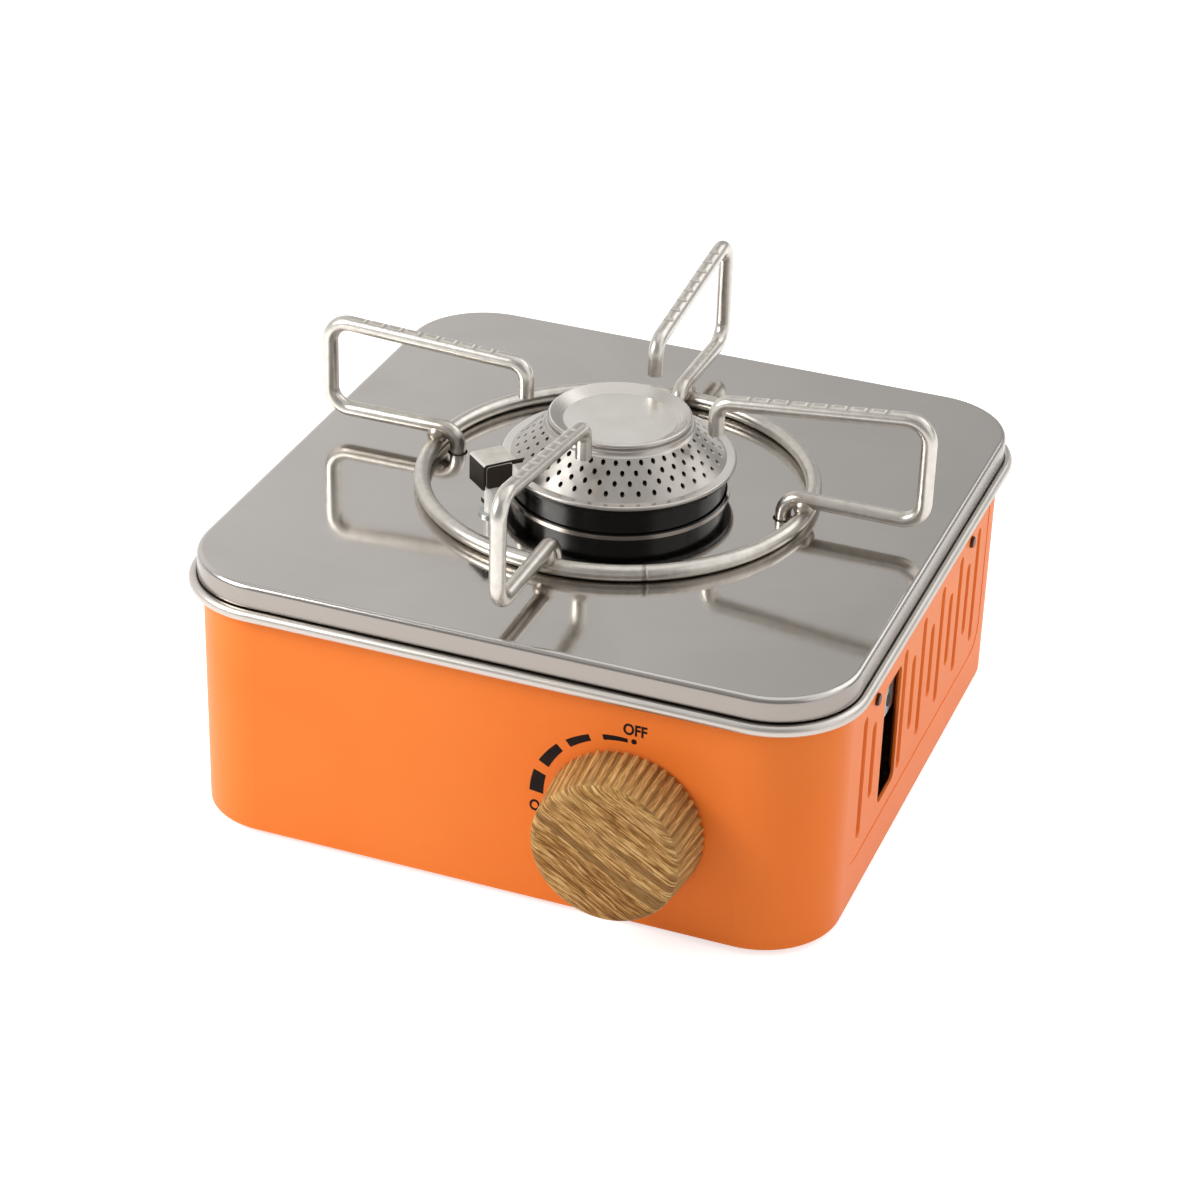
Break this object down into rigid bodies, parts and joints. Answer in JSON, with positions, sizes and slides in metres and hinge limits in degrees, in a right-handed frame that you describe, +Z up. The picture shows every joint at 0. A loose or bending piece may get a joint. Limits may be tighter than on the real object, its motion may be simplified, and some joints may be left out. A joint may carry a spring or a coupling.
{
  "type": "portable gas stove",
  "caption": "Small square table stove: orange tin box, shiny steel top, perforated burner, wire pot support, spark igniter and a wood-look valve knob.",
  "frame": {"origin": "on the table, under the middle of the stove's outer box", "axes": "+Z up, the knob at the front facing -Y, the gas inlet at the right facing +X"},
  "size_m": [0.1878, 0.2006, 0.1187],
  "materials": {
    "orange_paint": "semi-gloss orange paint on sheet steel",
    "polished_steel": "mirror-like rolled steel",
    "wire_steel": "plated wire",
    "burner_steel": "satin pressed steel",
    "black_bowl": "matt heat-proof black",
    "galvanised": "galvanised sheet steel",
    "dark_screw": "blackened screws and rivets",
    "spring_steel": "spring steel",
    "wood_grain": "wood-look knob, satin",
    "ceramic_white": "white glazed insulator",
    "brass": "turned brass",
    "copper_pipe": "drawn copper pipe",
    "die_cast": "die-cast alloy",
    "rubber": "black rubber",
    "black_plastic": "black moulded plastic"
  },
  "bodies": {
    "stove": {"body_shell": "orange_paint", "rim_bead": "polished_steel", "base_plate": "galvanised", "base_rivets": "dark_screw", "rubber_feet": "rubber", "top_plate": "polished_steel", "top_plate_screws": "dark_screw", "burner_cap": "burner_steel", "burner_bowl": "black_bowl", "mixing_tube": "galvanised", "burner_bracket": "galvanised", "spark_hood": "burner_steel", "igniter_ceramic": "ceramic_white", "igniter_clip": "galvanised", "spark_electrode": "wire_steel", "ignition_lead": "rubber", "valve_bush": "brass", "stem_seal": "rubber", "valve_body": "die_cast", "valve_bracket": "galvanised", "valve_screws": "dark_screw", "bracket_screws": "dark_screw", "regulator_diaphragm": "rubber", "regulator_cover": "die_cast", "regulator_spring": "spring_steel", "regulator_screws": "dark_screw", "inlet_socket": "brass", "inlet_seal": "rubber", "inlet_plate": "galvanised", "gas_pipe": "copper_pipe", "pipe_nuts": "brass", "gas_jet": "brass", "jet_nut": "brass", "piezo_unit": "black_plastic", "piezo_bracket": "galvanised", "piezo_screw": "dark_screw"},
    "knob": {"knob": "wood_grain", "knob_insert": "brass", "valve_stem": "brass"},
    "needle": {"valve_needle": "brass"},
    "igniter": {"igniter_carriage": "black_plastic", "piezo_plunger": "black_plastic"},
    "pot_support": {"support_ring": "wire_steel", "support_welds": "wire_steel", "support_arm_right": "wire_steel", "support_arm_back": "wire_steel", "support_arm_left": "wire_steel", "support_arm_front": "wire_steel"}
  },
  "joints": [
    {"name": "knob_turn", "type": "hinge", "parent": "stove", "child": "knob", "pos_m": [0.0377, -0.08357, 0.0323], "axis": [0, -1, 0], "range_deg": [0, 100]},
    {"name": "needle_slide", "type": "slide", "parent": "stove", "child": "needle", "axis": [0, -1, 0], "range_m": [0, 0.0022]},
    {"name": "igniter_slide", "type": "slide", "parent": "stove", "child": "igniter", "axis": [0, 1, 0], "range_m": [0, 0.004]},
    {"name": "support_lift", "type": "slide", "parent": "stove", "child": "pot_support", "axis": [0, 0, 1], "range_m": [0, 0.06]}
  ],
  "couplings": [
    {"joint": "needle_slide", "follows": "knob_turn", "m_per_rad": 0.00126},
    {"joint": "igniter_slide", "follows": "knob_turn", "m_per_rad": 0.00229}
  ]
}
